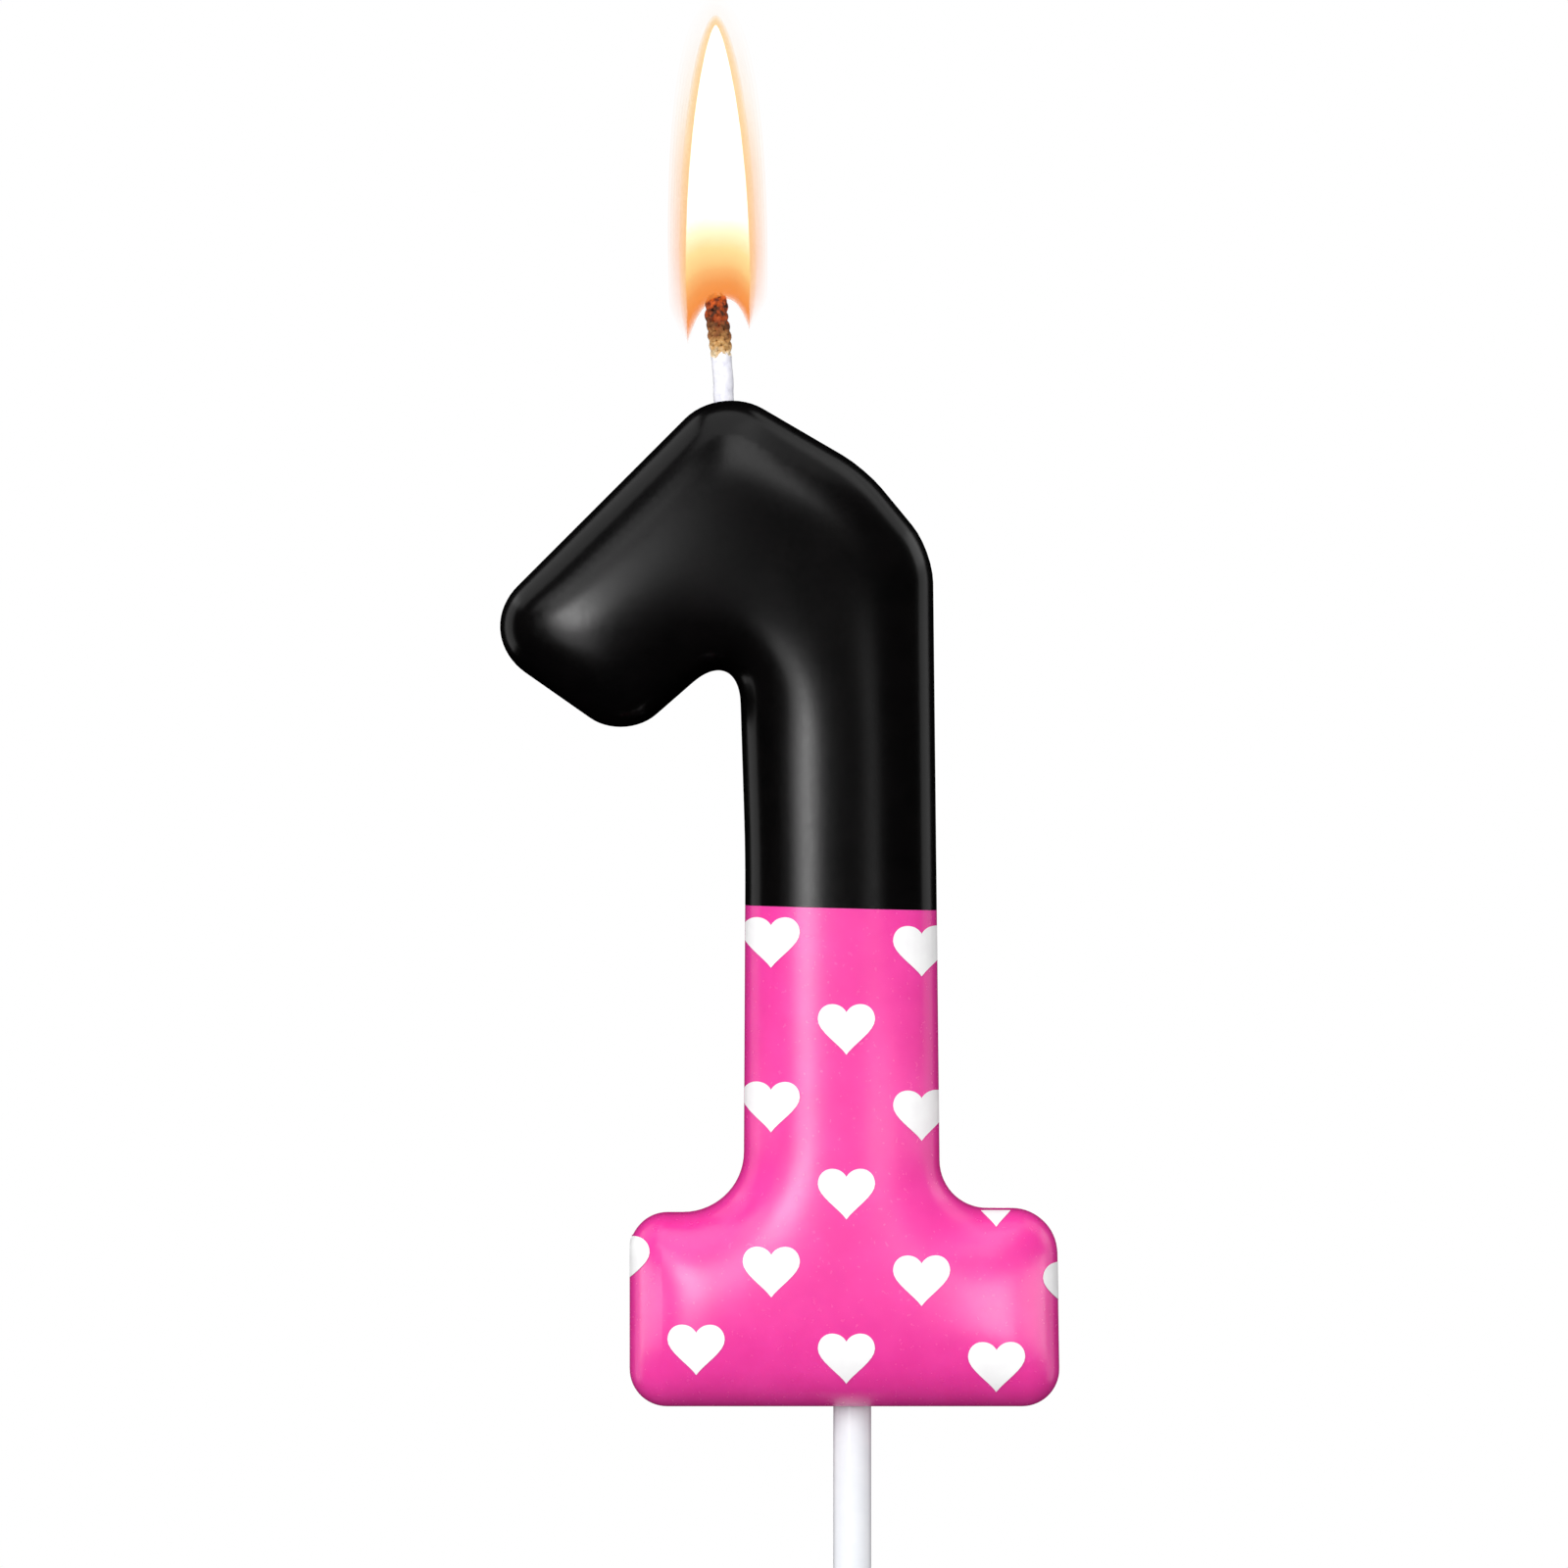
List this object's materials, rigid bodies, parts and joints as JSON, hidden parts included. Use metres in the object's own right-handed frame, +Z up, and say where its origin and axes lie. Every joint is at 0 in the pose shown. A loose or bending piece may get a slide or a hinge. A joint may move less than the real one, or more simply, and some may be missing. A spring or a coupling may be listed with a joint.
{
  "type": "number birthday candle",
  "caption": "Lit number candle: a puffy wax figure 1, black above and pink with white hearts below, on a white plastic stick.",
  "frame": {"origin": "middle of the stick's flat lower end, on the stick's axis", "axes": "+Z up along the stick's axis, -Y out of the front face, +X to the right seen from the front"},
  "size_m": [0.0391, 0.0122, 0.1469],
  "materials": {
    "paraffin": "satin",
    "black_wax": "satin",
    "pink_wax": "satin",
    "white_print": "satin",
    "cotton_wick": "matte",
    "primed_wax": "satin",
    "white_plastic": "gloss",
    "flame": "gloss"
  },
  "bodies": {
    "root": {"wax_core": "paraffin", "black_coat": "black_wax", "pink_coat": "pink_wax", "heart_front_01": "white_print", "heart_front_02": "white_print", "heart_front_03": "white_print", "heart_front_04": "white_print", "heart_front_05": "white_print", "heart_front_06": "white_print", "heart_front_07": "white_print", "heart_front_08": "white_print", "heart_front_09": "white_print", "heart_front_10": "white_print", "heart_front_11": "white_print", "heart_front_12": "white_print", "heart_front_13": "white_print", "heart_front_14": "white_print", "heart_back_01": "white_print", "heart_back_02": "white_print", "heart_back_03": "white_print", "heart_back_04": "white_print", "heart_back_05": "white_print", "heart_back_06": "white_print", "heart_back_07": "white_print", "heart_back_08": "white_print", "heart_back_09": "white_print", "heart_back_10": "white_print", "heart_back_11": "white_print", "heart_back_12": "white_print", "heart_back_13": "white_print", "heart_back_14": "white_print", "wick": "cotton_wick", "wick_wax_sleeve": "primed_wax", "stick": "white_plastic", "flame": "flame"}
  },
  "joints": []
}
